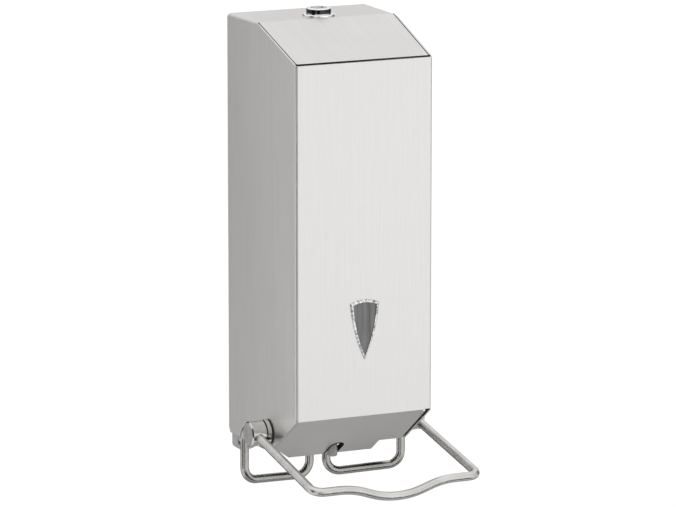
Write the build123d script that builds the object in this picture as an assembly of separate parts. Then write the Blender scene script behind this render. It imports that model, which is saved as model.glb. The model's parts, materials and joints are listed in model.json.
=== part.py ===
"""Elbow-operated wall soap dispenser, stainless steel, for one litre of liquid soap.

Frame: +Z up, the wall is the plane Y = 0 and the dispenser faces -Y. The origin is on the
wall, at the centre of the four mounting holes. All lengths are in millimetres.
"""
from math import atan2, cos, radians, sin, sqrt
import os

from build123d import *

# --- Case ---------------------------------------------------------------------------
REAR_HALF_WIDTH = 55.6
FRONT_HALF_WIDTH = 53.1
REAR_Y = -1.5
FRONT_Y = -117.4
TOP_Z = 150.0
TOP_FLAT_Y = -51.4           # where the flat top turns into the sloping panel
SLOPE_FOOT_Z = 127.7         # where the sloping panel meets the front
FLAP_FOLD_Z = -128.1         # where the front turns back into the flap
SIDE_FOOT = (-71.6, -159.4)  # front lower corner of a side panel (Y, Z)
SIDE_HEEL_Y = -3.6           # rear lower corner of a side panel is cut off up to here
SIDE_HEEL_Z = -155.8
COVER_SHEET = 1.2
SEAM = 0.8                   # gap beside the sloping panel, filled by the gasket
FOOT_SEAM = 0.9              # gap between the sloping panel and the front
GASKET_GAP = 0.03
GASKET_PROUD = (0.8, 0.05)   # gasket above the panel at its foot and at its top
FLAP_TIP_Y = -57.8           # lower edge of the flap's tongue
TONGUE_HALF_WIDTH = 33.0
FLAP_SIDE_GAP = {-1: (0.3, 0.3), 1: (2.6, 1.7)}   # at the fold and at the foot, left and right
FOLD_RELIEF = (5.0, 0.4)     # width and height of the relief at the right end of the fold
FLAP_CLIP = 14.0             # the flap's left lower corner is cut off by this much
SEAL_WIDTH = 4.5             # rubber strip behind each side gap of the flap
TRIM_WALL = 0.7              # edge trim round the notch
TRIM_DEPTH = 3.4
NOTCH_HALF_WIDTH = 5.4
NOTCH_APEX_Y = -74.8

# --- Pivot, lever and crank -----------------------------------------------------------
PIVOT_Y = -69.3
PIVOT_Z = -145.4
WIRE_D = 6.35
ARM_X = 64.1
BAR_Y = -173.5
BAR_Z = -165.6
BAR_CORNER_R = 8.0
WAVE_DIP = 8.4               # how far the middle of the bar dips
WAVE_CREST_HALF = 10.8
WAVE_FOOT_HALF = 34.8
WAVE_R = 60.0
CRANK_OUTER_X = 62.4
CRANK_INNER_X = 6.7
CRANK_OUTER_Y = -45.9
CRANK_INNER_Y = -36.3
CRANK_OUTER_Z = -185.2
CRANK_INNER_Z = -188.4
CRANK_TOP_R = 9.0
CRANK_FOOT_R = 10.0
HUB_R = 9.2
SPINDLE_D = 8.0
SPINDLE_END_X = 46.0
WIRE_HOLE_D = 6.45
LINK_PIN_D = 3.0
GRUB_OFFSET = 4.4            # grub screws sit this far before and behind the pivot axis

# --- Pivot stack, measured outwards from the middle: -1 is the left side, 1 the right ----
HUB_X = {-1: (58.8, 69.8), 1: (57.6, 66.6)}
ARM_TOP_X = {-1: 64.1, 1: 62.1}
BUSH_D = 12.0
BUSH_BORE_D = 8.1
BUSH_FLANGE_R = 9.0
BUSH_FLANGE_X = (47.6, 49.1)
BUSH_END_X = {-1: 57.9, 1: 56.4}
RING_X = (46.6, 47.3)
INNER_SPACER_X = {-1: (54.8, 55.3), 1: (54.8, 55.2)}
WASHER_X = {-1: (55.3, 58.0), 1: (55.2, 56.5)}
OUTER_SPACER_X = {-1: (58.0, 58.7), 1: (56.5, 57.3)}
INNER_SPACER_R = 9.0
WASHER_R = 9.8
OUTER_SPACER_R = 7.6
COVER_PIVOT_HOLE_D = 12.2

# --- Wall bracket -----------------------------------------------------------------------
PLATE_T = 1.5
PLATE_HALF_WIDTH = 52.6
PLATE_Z = (-126.0, 140.0)
HOLE_SPACING = (70.0, 180.0)
HOLE_D = 5.5
CHEEK_GAP = 0.75             # between a cheek and the cover's side panel
CHEEK_NOSE_R = 9.0
EAR_HOLE = (-16.6, -163.6, 7.8)    # Y, Z, diameter

# --- Shelf, pump and spout --------------------------------------------------------------
SHELF_Z = (-104.0, -102.5)
SHELF_HALF_WIDTH = 46.0
SHELF_FRONT_Y = -109.5
PUMP_Y = CRANK_INNER_Y
PUMP_R = 11.0
PUMP_FOOT_Z = -131.0
BORE_D = 16.0
BORE_TOP_Z = -109.0
PISTON_TOP_Z = -123.0
ROD_D = 6.0
YOKE_TOP_Z = -140.8
YOKE_FOOT_Z = -150.4
YOKE_HALF_WIDTH = 3.1
OUTLET_Z = -111.6
SPOUT_Y = -61.8
SPOUT_D = 6.0
NOZZLE_D = 7.4
NOZZLE_FOOT_Z = -169.8
NOZZLE_TOP_Z = -150.0

# --- Tank -------------------------------------------------------------------------------
TANK_HALF_WIDTH = 43.0
TANK_Y = (-106.5, -10.0)
TANK_Z = (-102.3, 46.0)
TANK_WALL = 2.0
TANK_CORNER_R = 9.0
FILL_HALF_WIDTH = 26.0
FILL_Y = (-100.0, -64.0)
LID_HINGE = (-58.0, 50.4)

# --- Lock and window ----------------------------------------------------------------------
LOCK_Y = -38.5
LOCK_FLANGE = (11.8, 1.6)    # radius, height
LOCK_HEAD = (9.0, 4.2)
LOCK_SHANK_R = 7.8
LOCK_SHANK_Z = 128.0
BARREL_R = 5.5
CAM_Z = (125.0, 126.5)
CAM_REACH = 25.4
WINDOW_TIP_Z = -87.0
WINDOW_SHOULDER_Z = -45.7
WINDOW_APEX_Z = -43.1
WINDOW_HALF_WIDTH = 11.2
RIM_WIDTH = 2.0

EPS = 0.01
SIDES = (("left", -1), ("right", 1))


# --- Helpers ------------------------------------------------------------------------------
def half_width(y):
    """Half width of the case at a depth: it narrows a little towards the front."""
    run = (y - REAR_Y) / (FRONT_Y - REAR_Y)
    return REAR_HALF_WIDTH + (FRONT_HALF_WIDTH - REAR_HALF_WIDTH) * run


def box(x0, x1, y0, y1, z0, z1):
    """Block between two corners."""
    centre = ((x0 + x1) / 2, (y0 + y1) / 2, (z0 + z1) / 2)
    return Pos(*centre) * Box(abs(x1 - x0), abs(y1 - y0), abs(z1 - z0))


def disc_z(x, y, z0, z1, r):
    """Upright cylinder from z0 to z1."""
    return Pos(x, y, (z0 + z1) / 2) * Cylinder(r, abs(z1 - z0))


def disc_x(x0, x1, y, z, r):
    """Cylinder along X from x0 to x1."""
    return Pos((x0 + x1) / 2, y, z) * Rot(0, 90, 0) * Cylinder(r, abs(x1 - x0))


def disc_y(x, y0, y1, z, r):
    """Cylinder along Y from y0 to y1."""
    return Pos(x, (y0 + y1) / 2, z) * Rot(90, 0, 0) * Cylinder(r, abs(y1 - y0))


def side_prism(points, x0, x1):
    """Plate cut to a side outline of (Y, Z) points, from x0 to x1."""
    outline = Polyline([Vector(x0, y, z) for y, z in points], close=True)
    return extrude(make_face(outline), amount=x1 - x0, dir=(1, 0, 0))


def tapered_block(inset, y0, y1, z0, z1):
    """Block as wide as the case less an inset on each side, following its taper."""
    w0 = half_width(y0) - inset
    w1 = half_width(y1) - inset
    outline = Polyline([(-w0, y0, z0), (w0, y0, z0), (w1, y1, z0), (-w1, y1, z0)], close=True)
    return extrude(make_face(outline), amount=z1 - z0, dir=(0, 0, 1))


def rod(points, radii, d):
    """Bent wire: straight runs joined by arcs, one radius for each corner."""
    path = FilletPolyline(*points, radius=radii)
    start = Plane(origin=path @ 0, z_dir=path % 0)
    return sweep(start * Circle(d / 2), path=path)


def offset_side_outline(inset):
    """Side outline of the case's cavity: top, slope, front and flap moved in by the sheet."""
    slope = atan2(TOP_Z - SLOPE_FOOT_Z, TOP_FLAT_Y - FRONT_Y)
    flap = atan2(FLAP_FOLD_Z - SIDE_FOOT[1], SIDE_FOOT[0] - FRONT_Y)
    top_turn = TOP_FLAT_Y + inset * sin(slope / 2) / cos(slope / 2)
    front_y = FRONT_Y + inset
    front_top = SLOPE_FOOT_Z - inset * (1 - sin(slope)) / cos(slope)
    front_foot = FLAP_FOLD_Z + inset * (1 - sin(flap)) / cos(flap)
    reach = 60.0
    tip = (front_y + reach * cos(flap), front_foot - reach * sin(flap))
    return [(20, TOP_Z - inset), (top_turn, TOP_Z - inset), (front_y, front_top),
            (front_y, front_foot), tip, (20, tip[1])]


def save(shape, name):
    """Write one named piece."""
    shape.label = name
    export_step(shape, f"parts/{name}.step")


def group(shapes):
    """Several separate solids in one node."""
    return Compound(children=[solid for shape in shapes for solid in shape.solids()])


# --- Cover --------------------------------------------------------------------------------
def cover_outer():
    """Full outer form of the case, as one tapered solid with its edges rounded."""
    outline = [(REAR_Y, TOP_Z), (TOP_FLAT_Y, TOP_Z), (FRONT_Y, SLOPE_FOOT_Z),
               (FRONT_Y, FLAP_FOLD_Z), SIDE_FOOT, (SIDE_HEEL_Y, SIDE_FOOT[1]),
               (REAR_Y, SIDE_HEEL_Z)]
    body = side_prism(outline, -70, 70) & tapered_block(0, REAR_Y, FRONT_Y, -200, 200)
    top_sides = [e for e in body.edges()
                 if abs(e.center().Z - TOP_Z) < 0.1 and abs(e.center().X) > 50]
    body = fillet(top_sides, 3.2)
    front_sides = [e for e in body.edges()
                   if abs(e.center().Y - FRONT_Y) < 0.1 and abs(e.center().X) > 50
                   and e.length > 200]
    return fillet(front_sides, 2.0)


def flap_cut():
    """Everything of the flap's plane that is not flap: side gaps, corners and notch."""
    low = -190.0
    inner_edge = half_width(SIDE_FOOT[0]) - COVER_SHEET - 0.05
    gap_rear = half_width(SIDE_FOOT[0]) - COVER_SHEET
    gap_front = half_width(FRONT_Y) - COVER_SHEET
    cuts = []
    for side in (-1, 1):
        at_fold, at_foot = FLAP_SIDE_GAP[side]
        gap = [(side * gap_rear, -50), (side * (gap_front - 0.05), FRONT_Y + 0.2),
               (side * (gap_front - at_fold), FRONT_Y + 0.2), (side * (gap_rear - at_foot), -50)]
        face = make_face(Polyline([(x, y, low) for x, y in gap], close=True))
        cuts.append(extrude(face, amount=FLAP_FOLD_Z - low + 1.2, dir=(0, 0, 1)))
    cuts.append(box(TONGUE_HALF_WIDTH, inner_edge, SIDE_FOOT[0], -20, low, PIVOT_Z))
    corner = [(-TONGUE_HALF_WIDTH, FLAP_TIP_Y), (-TONGUE_HALF_WIDTH - FLAP_CLIP, SIDE_FOOT[0]),
              (-inner_edge, SIDE_FOOT[0]), (-inner_edge, -20), (-TONGUE_HALF_WIDTH, -20)]
    face = make_face(Polyline([(x, y, low) for x, y in corner], close=True))
    cuts.append(extrude(face, amount=PIVOT_Z - low, dir=(0, 0, 1)))
    cuts.append(notch(0.0))
    relief_wide, relief_high = FOLD_RELIEF
    cuts.append(box(gap_front - relief_wide, gap_front, FRONT_Y - 1, FRONT_Y + 2.6,
                    FLAP_FOLD_Z - 6, FLAP_FOLD_Z + relief_high))
    return cuts


def notch(inset):
    """Upright plug that fills the notch, made smaller all round by an inset."""
    centre = NOTCH_APEX_Y + NOTCH_HALF_WIDTH
    half = NOTCH_HALF_WIDTH - inset
    plug = box(-half, half, centre, -20, -190, PIVOT_Z)
    return plug + disc_z(0, centre, -190, PIVOT_Z, half)


def flap_band(outside, inside, rear_y):
    """Slab that follows the flap, from a depth outside its face to a depth inside it."""
    slope = atan2(FLAP_FOLD_Z - SIDE_FOOT[1], SIDE_FOOT[0] - FRONT_Y)
    drop = (rear_y - FRONT_Y) * sin(slope) / cos(slope)
    low, high = outside / cos(slope), inside / cos(slope)
    return side_prism([(FRONT_Y, FLAP_FOLD_Z - low), (rear_y, FLAP_FOLD_Z - drop - low),
                       (rear_y, FLAP_FOLD_Z - drop + high), (FRONT_Y, FLAP_FOLD_Z + high)],
                      -80, 80)


def notch_trim():
    """Rubber edge trim round the notch."""
    trim = (notch(0.02) - notch(TRIM_WALL)) & flap_band(0.3, TRIM_DEPTH, FLAP_TIP_Y - 0.2)
    return trim


def flap_seal(side):
    """Rubber strip inside the flap that closes the gap beside it."""
    band = flap_band(-COVER_SHEET - 0.02, COVER_SHEET + 1.3, SIDE_FOOT[0])
    outer = tapered_block(COVER_SHEET + 0.1, SIDE_FOOT[0], FRONT_Y + COVER_SHEET + 0.02, -180, -100)
    inner = tapered_block(COVER_SHEET + 0.1 + SEAL_WIDTH, -60, FRONT_Y - 1, -181, -99)
    return band & (outer - inner) & box(0, side * 80, -130, 0, -180, -100)


def window_outline(grow):
    """Closed shield outline in the front plane, grown outwards by a distance."""
    w = WINDOW_HALF_WIDTH + grow
    shoulder = WINDOW_SHOULDER_Z + grow * 0.6
    apex = WINDOW_APEX_Z + grow
    tip = WINDOW_TIP_Z - grow * 1.3
    bulge_z = (shoulder + tip) / 2 - 3.0
    bulge_x = w * 0.61
    right = ThreePointArc((w, 0, shoulder), (bulge_x, 0, bulge_z), (0, 0, tip))
    left = ThreePointArc((0, 0, tip), (-bulge_x, 0, bulge_z), (-w, 0, shoulder))
    top = ThreePointArc((-w, 0, shoulder), (0, 0, apex), (w, 0, shoulder))
    return make_face([right, left, top])


def window_prism(grow, y0, y1):
    """Shield-shaped plug between two depths."""
    return Pos(0, y0, 0) * extrude(window_outline(grow), amount=y1 - y0, dir=(0, 1, 0))


def cover_parts():
    """Cover shell, the sloping panel let into it, and the window."""
    outer = cover_outer()
    cavity = side_prism(offset_side_outline(COVER_SHEET), -80, 80)
    cavity &= tapered_block(COVER_SHEET, 10, FRONT_Y - 1, -200, 200)
    shell = outer - cavity

    tip_z = FLAP_FOLD_Z - (FLAP_TIP_Y - FRONT_Y) * (FLAP_FOLD_Z - SIDE_FOOT[1]) / (
        SIDE_FOOT[0] - FRONT_Y)
    slope = atan2(FLAP_FOLD_Z - tip_z, FLAP_TIP_Y - FRONT_Y)
    back = COVER_SHEET / sin(slope)
    tongue_start = SIDE_FOOT[0] - 8
    start_z = FLAP_FOLD_Z - (tongue_start - FRONT_Y) * sin(slope) / cos(slope)
    tongue = side_prism([(tongue_start, start_z), (FLAP_TIP_Y, tip_z),
                         (FLAP_TIP_Y + COVER_SHEET * sin(slope), tip_z + COVER_SHEET * cos(slope)),
                         (tongue_start + back * sin(slope) ** 2, start_z + back * sin(slope) * cos(slope))],
                        -46, 46)
    shell = shell + tongue
    for cutter in flap_cut():
        shell -= cutter

    for _, side in SIDES:
        shell -= disc_x(side * 45, side * 65, PIVOT_Y, PIVOT_Z, COVER_PIVOT_HOLE_D / 2)
    shell -= disc_z(0, LOCK_Y, 140, 160, LOCK_SHANK_R + 0.05)
    shell -= window_prism(-1.0, FRONT_Y - 1, FRONT_Y + 3)

    fall = (TOP_Z - SLOPE_FOOT_Z) / (TOP_FLAT_Y - FRONT_Y)
    down = COVER_SHEET * sqrt(1 + fall * fall)
    front_back = FRONT_Y + COVER_SHEET
    foot_y = front_back + FOOT_SEAM
    foot_z = SLOPE_FOOT_Z + (foot_y - FRONT_Y) * fall
    pocket = side_prism([(TOP_FLAT_Y, TOP_Z + 2), (front_back, TOP_Z + 2),
                         (front_back, SLOPE_FOOT_Z - down - 0.3),
                         (TOP_FLAT_Y, TOP_Z - down - 1.0)], -80, 80)
    shell -= pocket & tapered_block(COVER_SHEET, 10, FRONT_Y - 3, 0, 200)
    panel = side_prism([(TOP_FLAT_Y, TOP_Z), (foot_y, foot_z), (foot_y, foot_z - down),
                        (TOP_FLAT_Y, TOP_Z - down)], -80, 80)
    panel &= tapered_block(COVER_SHEET + SEAM, 10, FRONT_Y, 0, 200)
    return shell, panel


def panel_gasket():
    """Black strip in the seams along the foot and both sides of the sloping panel."""
    fall = (TOP_Z - SLOPE_FOOT_Z) / (TOP_FLAT_Y - FRONT_Y)
    front_back = FRONT_Y + COVER_SHEET
    foot_y = front_back + FOOT_SEAM
    y0, y1 = front_back + GASKET_GAP, TOP_FLAT_Y - 0.4
    z0, z1 = (SLOPE_FOOT_Z + (y - FRONT_Y) * fall for y in (y0, y1))
    proud_foot, proud_top = GASKET_PROUD
    strip = side_prism([(y0, z0 + proud_foot), (foot_y, z0 + proud_foot),
                        (foot_y + 4, z0 + 4 * fall + proud_top), (y1, z1 + proud_top),
                        (y1, z1 - COVER_SHEET), (y0, z0 - COVER_SHEET)], -80, 80)
    inside = COVER_SHEET + SEAM - GASKET_GAP
    hole = tapered_block(inside, 10, foot_y - GASKET_GAP, 0, 200)
    return (strip & tapered_block(COVER_SHEET + GASKET_GAP, 10, FRONT_Y, 0, 200)) - hole


def window_parts():
    """Polished rim, smoked lens and the clip plate behind the front panel."""
    rim = window_prism(0.0, FRONT_Y - 1.1, FRONT_Y)
    rim += window_prism(-1.1, FRONT_Y, FRONT_Y + COVER_SHEET)
    front_edges = [e for e in rim.edges() if abs(e.center().Y - (FRONT_Y - 1.1)) < 0.05]
    rim = chamfer(front_edges, 0.7)
    rim -= window_prism(-RIM_WIDTH, FRONT_Y - 3, FRONT_Y + 3)
    lens = window_prism(-RIM_WIDTH - 0.03, FRONT_Y - 0.5, FRONT_Y + 2.4)
    clip = window_prism(3.5, FRONT_Y + COVER_SHEET + 0.02, FRONT_Y + 2.4)
    clip -= window_prism(-RIM_WIDTH + 0.02, FRONT_Y, FRONT_Y + 4)
    return rim, lens, clip


def lock_parts():
    """Lock body and nut on the cover, and the barrel with its cam."""
    top = TOP_Z
    body = disc_z(0, LOCK_Y, top + EPS, top + LOCK_FLANGE[1], LOCK_FLANGE[0])
    rim = [e for e in body.edges() if e.center().Z > top + 1]
    body = fillet(rim, 0.9)
    head_top = top + LOCK_FLANGE[1] + LOCK_HEAD[1]
    head = disc_z(0, LOCK_Y, top + 0.5, head_top, LOCK_HEAD[0])
    head = fillet([e for e in head.edges() if e.center().Z > head_top - 0.1], 1.1)
    body += head
    body += disc_z(0, LOCK_Y, LOCK_SHANK_Z, top + 1, LOCK_SHANK_R)
    body -= disc_z(0, LOCK_Y, 100, 200, BARREL_R + 0.08)
    nut_top = top - COVER_SHEET - 0.02
    hexagon = extrude(Pos(0, LOCK_Y, nut_top - 3.5) * RegularPolygon(11.0, 6), amount=3.5)
    nut = hexagon - disc_z(0, LOCK_Y, 100, 200, LOCK_SHANK_R + 0.03)

    barrel = disc_z(0, LOCK_Y, CAM_Z[1], head_top - 0.5, BARREL_R)
    barrel = chamfer([e for e in barrel.edges() if e.center().Z > head_top - 1], 0.3)
    barrel -= box(-3.6, 3.6, LOCK_Y - 0.8, LOCK_Y + 0.8, head_top - 12, head_top + 1)
    barrel += box(-3.0, 3.0, LOCK_Y - 3.0, LOCK_Y + 3.0, CAM_Z[0], CAM_Z[1] + 1)
    barrel -= disc_z(0, LOCK_Y, 100, CAM_Z[1] + 6, 1.25)
    cam = disc_z(0, LOCK_Y, *CAM_Z, 7.0) + box(0, CAM_REACH, LOCK_Y - 5, LOCK_Y + 5, *CAM_Z)
    cam += box(CAM_REACH - 1.5, CAM_REACH, LOCK_Y - 5, LOCK_Y + 5, CAM_Z[0], CAM_Z[1] + 4.5)
    cam -= box(-3.03, 3.03, LOCK_Y - 3.03, LOCK_Y + 3.03, 100, 140)
    screw = disc_z(0, LOCK_Y, CAM_Z[0] - 2.2, CAM_Z[0] - EPS, 4.6)
    screw += disc_z(0, LOCK_Y, CAM_Z[0] - 1, CAM_Z[0] + 6, 1.2)
    screw -= box(-5, 5, LOCK_Y - 0.5, LOCK_Y + 0.5, CAM_Z[0] - 3, CAM_Z[0] - 1.2)
    return body, nut, barrel, cam, screw


# --- Wall bracket -----------------------------------------------------------------------
def cheek_outline():
    """Side outline of a cheek: from the wall to the pivot, with the ear hanging below."""
    nose = []
    for step in range(0, 13):
        turn = radians(75 + step * (327 - 75) / 12)
        nose.append((PIVOT_Y + CHEEK_NOSE_R * cos(turn), PIVOT_Z + CHEEK_NOSE_R * sin(turn)))
    edges = [Line((0, *nose[0]), (0, -36, -112)), Line((0, -36, -112), (0, 0, -104)),
             Line((0, 0, -104), (0, 0, -156)), Line((0, 0, -156), (0, -2.7, -159.5)),
             Line((0, -2.7, -159.5), (0, -2.7, -167.4)),
             ThreePointArc((0, -2.7, -167.4), (0, -3.5, -169.0), (0, -5.2, -169.6)),
             Line((0, -5.2, -169.6), (0, -15, -169.9)),
             ThreePointArc((0, -15, -169.9), (0, -31, -166.3), (0, -45, -159.6)),
             Line((0, -45, -159.6), (0, *nose[-1])),
             ThreePointArc((0, *nose[-1]), (0, *nose[6]), (0, *nose[0]))]
    return make_face(edges)


def bracket():
    """Folded back plate with its two cheeks."""
    plate = box(-PLATE_HALF_WIDTH, PLATE_HALF_WIDTH, -PLATE_T, 0, *PLATE_Z)
    corners = [e for e in plate.edges().filter_by(Axis.Y) if e.center().Z > 0]
    plate = fillet(corners, 6)
    for x in (-1, 1):
        for z in (-1, 1):
            plate -= disc_y(x * HOLE_SPACING[0] / 2, -5, 5, z * HOLE_SPACING[1] / 2, HOLE_D / 2)
    inset = COVER_SHEET + CHEEK_GAP
    slab = tapered_block(inset, 0, -90, -180, -90) - tapered_block(inset + PLATE_T, 1, -91, -181, -89)
    cheeks = extrude(Pos(-80, 0, 0) * cheek_outline(), amount=160, dir=(1, 0, 0)) & slab
    join = tapered_block(inset, 0, -PLATE_T, -126, -104)
    whole = plate + cheeks + join
    for _, side in SIDES:
        whole -= disc_x(side * 40, side * 65, PIVOT_Y, PIVOT_Z, BUSH_D / 2)
        whole -= disc_x(side * 40, side * 65, EAR_HOLE[0], EAR_HOLE[1], EAR_HOLE[2] / 2)
    return whole


def catch():
    """Angle strip on the back plate whose lip the cam hooks behind."""
    strip = box(-14, 14, -PLATE_T - 1.5, -PLATE_T - EPS, 114, 137)
    strip += box(-8, 8, -18.5, -PLATE_T - EPS, 135.5, 137)
    strip += box(-8, 8, -18.5, -17, 128.5, 137)
    return strip


def rivets():
    """Four blind rivets: two hold the catch, two hold the top of the shelf flange."""
    out = []
    for x in (-10, 10):
        head = disc_y(x, -PLATE_T - 2.6, -PLATE_T - 1.5 - EPS, 119, 2.6)
        out.append(head)
    return group(out)


# --- Pivot stack --------------------------------------------------------------------------
def ring_x(side, x0, x1, outer_r, inner_r):
    """Ring round the pivot axis on one side."""
    ring = disc_x(side * x0, side * x1, PIVOT_Y, PIVOT_Z, outer_r)
    return ring - disc_x(side * (x0 - 1), side * (x1 + 1), PIVOT_Y, PIVOT_Z, inner_r)


def bush(side):
    """Plastic bush in a cheek: the spindle turns in it and the cover turns on it."""
    body = ring_x(side, BUSH_FLANGE_X[0], BUSH_END_X[side], BUSH_D / 2, BUSH_BORE_D / 2)
    return body + ring_x(side, *BUSH_FLANGE_X, BUSH_FLANGE_R, BUSH_BORE_D / 2)


def hub(side):
    """Turned hub with its spindle, and cross-holes for the arm and the crank wire."""
    inner_x, outer_x = HUB_X[side]
    body = disc_x(side * inner_x, side * outer_x, PIVOT_Y, PIVOT_Z, HUB_R)
    end = [e for e in body.edges() if abs(abs(e.center().X) - outer_x) < 0.05]
    body = chamfer(end, 0.9)
    body += disc_x(side * SPINDLE_END_X, side * (inner_x + 1), PIVOT_Y, PIVOT_Z, SPINDLE_D / 2)
    groove = ring_x(side, RING_X[0] - 0.05, RING_X[1] + 0.05, SPINDLE_D, SPINDLE_D / 2 - 0.6)
    body -= groove
    pivot = Vector(side * ARM_TOP_X[side], PIVOT_Y, PIVOT_Z)
    arm = Plane(origin=pivot, z_dir=arm_direction(side))
    body -= arm * Pos(0, 0, 10) * Cylinder(WIRE_HOLE_D / 2, 20)
    body -= arm * Pos(0, 0, HUB_R) * Cone(WIRE_HOLE_D / 2 - 0.6, WIRE_HOLE_D / 2 + 0.9, 3)
    body -= disc_y(side * CRANK_OUTER_X, PIVOT_Y, PIVOT_Y + 20, PIVOT_Z, WIRE_HOLE_D / 2)
    body -= disc_z(side * ARM_TOP_X[side], PIVOT_Y - GRUB_OFFSET, PIVOT_Z, PIVOT_Z - 20, 1.55)
    body -= disc_z(side * CRANK_OUTER_X, PIVOT_Y + GRUB_OFFSET, PIVOT_Z, PIVOT_Z - 20, 1.55)
    return body


def arm_direction(side):
    """Unit vector along an arm, from the pivot to the front bar."""
    run = Vector(side * (ARM_X - ARM_TOP_X[side]), BAR_Y - PIVOT_Y, BAR_Z - PIVOT_Z)
    return run.normalized()


def grub_screws():
    """Four grub screws in the hubs, two to each."""
    out = []
    for _, side in SIDES:
        for x, dy in ((ARM_TOP_X[side], -GRUB_OFFSET), (CRANK_OUTER_X, GRUB_OFFSET)):
            y = PIVOT_Y + dy
            foot = PIVOT_Z - sqrt(HUB_R ** 2 - dy ** 2) + 0.4
            top = PIVOT_Z - WIRE_D / 2 - (1.3 if dy < 0 else 0.1)
            screw = disc_z(side * x, y, foot, top, 1.5)
            hexagon = extrude(Pos(side * x, y, foot - 0.1) * RegularPolygon(0.85, 6), amount=1.2)
            out.append(screw - hexagon)
    return group(out)


def retaining_rings():
    """A retaining ring on the inner end of each spindle."""
    out = []
    for _, side in SIDES:
        ring = ring_x(side, *RING_X, 6.4, SPINDLE_D / 2 - 0.55)
        ring -= box(side * 40, side * 50, PIVOT_Y - 2.2, PIVOT_Y + 2.2, PIVOT_Z, PIVOT_Z + 12)
        out.append(ring)
    return group(out)


# --- Lever ------------------------------------------------------------------------------
def elbow_wire():
    """Front bow of the lever: arm, corner, wavy bar, corner, arm, as one bent wire."""
    heel = Vector(0, BAR_Y, BAR_Z)
    stations = [(-ARM_X, 0), (-WAVE_FOOT_HALF, 0), (-WAVE_CREST_HALF, WAVE_DIP),
                (WAVE_CREST_HALF, WAVE_DIP), (WAVE_FOOT_HALF, 0), (ARM_X, 0)]
    bar = [heel + Vector(x, 0, -dip) for x, dip in stations]
    tops = [Vector(side * ARM_TOP_X[side], PIVOT_Y, PIVOT_Z) + arm_direction(side) * 1.6
            for _, side in SIDES]
    points = [tops[0], *bar, tops[1]]
    return rod(points, [BAR_CORNER_R] + [WAVE_R] * 4 + [BAR_CORNER_R], WIRE_D)


def crank_wire(side):
    """Crank wire: from the hub down, under the side panel and up to the pump's yoke."""
    x_out = side * CRANK_OUTER_X
    x_in = side * CRANK_INNER_X
    points = [(x_out, PIVOT_Y + 1.2, PIVOT_Z), (x_out, CRANK_OUTER_Y, PIVOT_Z),
              (x_out, CRANK_OUTER_Y, CRANK_OUTER_Z), (x_in, CRANK_INNER_Y, CRANK_INNER_Z),
              (x_in, CRANK_INNER_Y, PIVOT_Z + 3.8)]
    wire = rod([Vector(*p) for p in points], [CRANK_TOP_R, CRANK_FOOT_R, CRANK_FOOT_R], WIRE_D)
    return wire - disc_x(-20, 20, PUMP_Y, PIVOT_Z, LINK_PIN_D / 2 + 0.02)


def link_pin():
    """Pin through both crank wires and the slot of the yoke, with a head at each end."""
    pin = disc_x(-10.8, 10.8, PUMP_Y, PIVOT_Z, LINK_PIN_D / 2)
    for side in (-1, 1):
        pin += disc_x(side * 10.4, side * 11.6, PUMP_Y, PIVOT_Z, 2.6)
    return pin


# --- Pump -------------------------------------------------------------------------------
def pump_body():
    """Pump cylinder hung under the shelf, its neck up through the shelf into the tank."""
    body = disc_z(0, PUMP_Y, PUMP_FOOT_Z, SHELF_Z[0] - EPS, PUMP_R)
    body += disc_z(0, PUMP_Y, SHELF_Z[0] - 2.5, SHELF_Z[0] - EPS, 17.0)
    body += disc_z(0, PUMP_Y, SHELF_Z[0] - 1, -97.0, 9.0)
    body += disc_z(0, PUMP_Y, -98, -90.5, 6.0)
    body += disc_y(0, PUMP_Y - 9, PUMP_Y - 17.5, OUTLET_Z, 4.6)
    body -= disc_z(0, PUMP_Y, PUMP_FOOT_Z - 1, BORE_TOP_Z, BORE_D / 2)
    body -= disc_z(0, PUMP_Y, BORE_TOP_Z - 1, -80, 2.2)
    body -= disc_z(0, PUMP_Y, -105.0, -99.0, 4.3)
    body -= disc_y(0, PUMP_Y - 3, PUMP_Y - 30, OUTLET_Z, 1.9)
    body -= disc_y(0, PUMP_Y - 12.5, PUMP_Y - 30, OUTLET_Z, SPOUT_D / 2 + 0.02)
    body -= ring_z(PUMP_Y, PUMP_FOOT_Z - 1, PUMP_FOOT_Z + 3, PUMP_R + 1, PUMP_R - 0.8)
    return body


def ring_z(y, z0, z1, outer_r, inner_r):
    """Upright ring on the middle plane."""
    return disc_z(0, y, z0, z1, outer_r) - disc_z(0, y, z0 - 1, z1 + 1, inner_r)


def pump_gland():
    """Screwed cap that guides the piston rod at the foot of the cylinder."""
    cap = disc_z(0, PUMP_Y, PUMP_FOOT_Z, PUMP_FOOT_Z + 3.2, BORE_D / 2 - 0.02)
    cap -= disc_z(0, PUMP_Y, PUMP_FOOT_Z - 1, PUMP_FOOT_Z + 5, ROD_D / 2 + 0.06)
    for side in (-1, 1):
        cap -= disc_z(side * 5.4, PUMP_Y, PUMP_FOOT_Z - 1, PUMP_FOOT_Z + 1.4, 0.9)
    return cap


def pump_nut():
    """Ring nut above the shelf, with four spanner slots."""
    nut = ring_z(PUMP_Y, SHELF_Z[1] + EPS, SHELF_Z[1] + 4.0, 14.0, 9.05)
    for turn in range(4):
        slot = Pos(0, PUMP_Y, 0) * Rot(0, 0, 90 * turn + 45) * box(12.4, 15, -1.6, 1.6, -110, -90)
        nut -= slot
    return nut


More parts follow.
